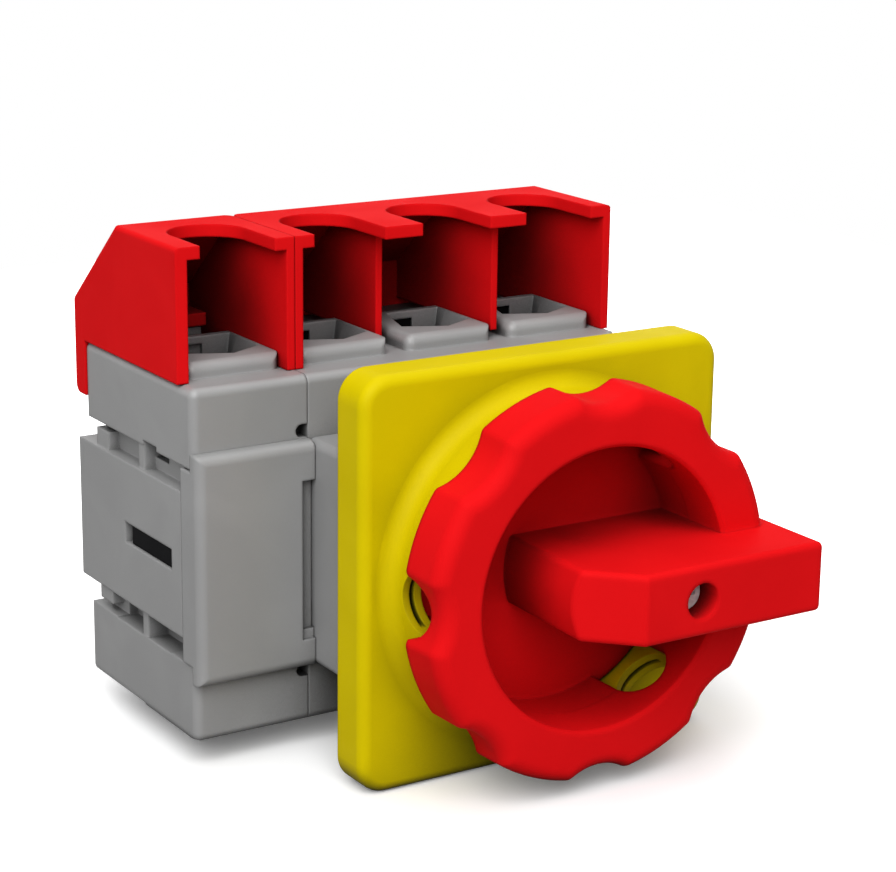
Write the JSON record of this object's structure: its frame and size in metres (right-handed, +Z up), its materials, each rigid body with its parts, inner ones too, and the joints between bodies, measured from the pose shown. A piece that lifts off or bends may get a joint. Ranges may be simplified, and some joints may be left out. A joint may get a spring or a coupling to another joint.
{
  "type": "DIN rail switch disconnector",
  "caption": "Rotary load-break switch for a rail: grey pole blocks, red terminal covers, yellow plate and a red scalloped knob that takes padlocks.",
  "frame": {"origin": "middle of the three-pole block's rail seat, level with the knob's axis", "axes": "+X right along the rail, +Y back into the rail, +Z up"},
  "size_m": [0.0843, 0.094, 0.0838],
  "materials": {
    "grey_plastic": "fine matt moulding",
    "red_plastic": "satin moulding",
    "yellow_plastic": "satin moulding",
    "black_plastic": "matt",
    "zinc_steel": "zinc plated",
    "spring_steel": "bright",
    "silvered_copper": "satin copper"
  },
  "bodies": {
    "switch_body": {"contact_housing": "grey_plastic", "mechanism_housing": "grey_plastic", "neutral_housing": "grey_plastic", "neutral_cap": "grey_plastic", "main_terminal_cover": "red_plastic", "neutral_terminal_cover": "red_plastic", "front_plate": "yellow_plastic", "joining_dowels": "grey_plastic", "housing_screws": "zinc_steel", "plate_screws": "zinc_steel", "rail_spring": "spring_steel", "line_contact_1": "silvered_copper", "line_clamp_1": "spring_steel", "load_contact_1": "silvered_copper", "load_clamp_1": "spring_steel", "line_contact_2": "silvered_copper", "line_clamp_2": "spring_steel", "load_contact_2": "silvered_copper", "load_clamp_2": "spring_steel", "line_contact_3": "silvered_copper", "line_clamp_3": "spring_steel", "load_contact_3": "silvered_copper", "load_clamp_3": "spring_steel", "line_contact_4": "silvered_copper", "line_clamp_4": "spring_steel", "load_contact_4": "silvered_copper", "load_clamp_4": "spring_steel"},
    "handle": {"knob": "red_plastic", "knob_screw": "zinc_steel", "drive_disc": "black_plastic", "drive_shaft": "zinc_steel", "cam": "black_plastic"},
    "contact_carrier": {"main_carrier": "black_plastic", "neutral_carrier": "black_plastic", "coupling_link": "black_plastic", "bridge_1": "silvered_copper", "contact_spring_1": "spring_steel", "bridge_2": "silvered_copper", "contact_spring_2": "spring_steel", "bridge_3": "silvered_copper", "contact_spring_3": "spring_steel", "bridge_4": "silvered_copper", "contact_spring_4": "spring_steel"},
    "rail_clip": {"rail_slide": "black_plastic"}
  },
  "joints": [
    {"name": "handle_turn", "type": "hinge", "parent": "switch_body", "child": "handle", "pos_m": [0, -0.0613, 0], "axis": [0, 1, 0], "range_deg": [0, 90]},
    {"name": "carrier_slide", "type": "slide", "parent": "switch_body", "child": "contact_carrier", "axis": [0, 1, 0], "range_m": [0, 0.005]},
    {"name": "rail_release", "type": "slide", "parent": "switch_body", "child": "rail_clip", "axis": [0, 0, -1], "range_m": [0, 0.003], "stiffness_N_per_m": 1500, "springref_m": -0.002, "deforming": ["rail_spring"]}
  ],
  "couplings": [
    {"joint": "carrier_slide", "follows": "handle_turn", "m_per_rad": 0.003183}
  ]
}
